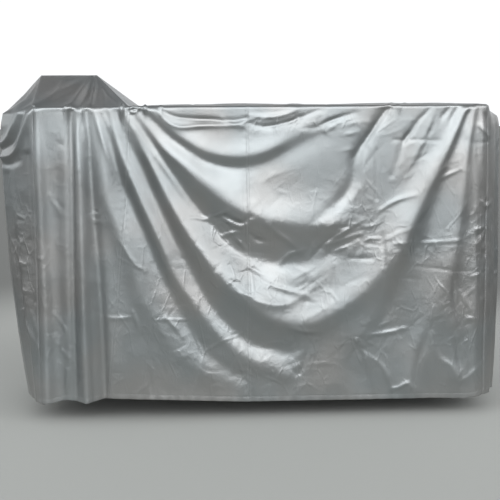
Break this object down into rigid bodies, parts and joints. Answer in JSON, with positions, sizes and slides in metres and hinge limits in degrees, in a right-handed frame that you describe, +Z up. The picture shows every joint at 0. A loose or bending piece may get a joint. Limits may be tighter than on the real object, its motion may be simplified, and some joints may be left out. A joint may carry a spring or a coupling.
{
  "type": "heater storage cover",
  "caption": "Loose fitted storage cover of silver coated cloth for a long wheeled heater, flat-topped with a raised hood at one end, hanging in swags to an open hem.",
  "frame": {"origin": "underside of the flat top, at the middle of its length and depth, where the thing it covers holds it up", "axes": "+X along the length, away from the hooded end, +Y to the back, +Z up"},
  "size_m": [2.5219, 1.047, 1.6414],
  "materials": {
    "silver_cloth": "satin silver coating, finely crinkled"
  },
  "bodies": {
    "root": {"hood_strip": "silver_cloth", "middle_strip": "silver_cloth", "right_strip": "silver_cloth", "hood_gusset": "silver_cloth", "left_end": "silver_cloth", "right_end": "silver_cloth"}
  },
  "joints": []
}
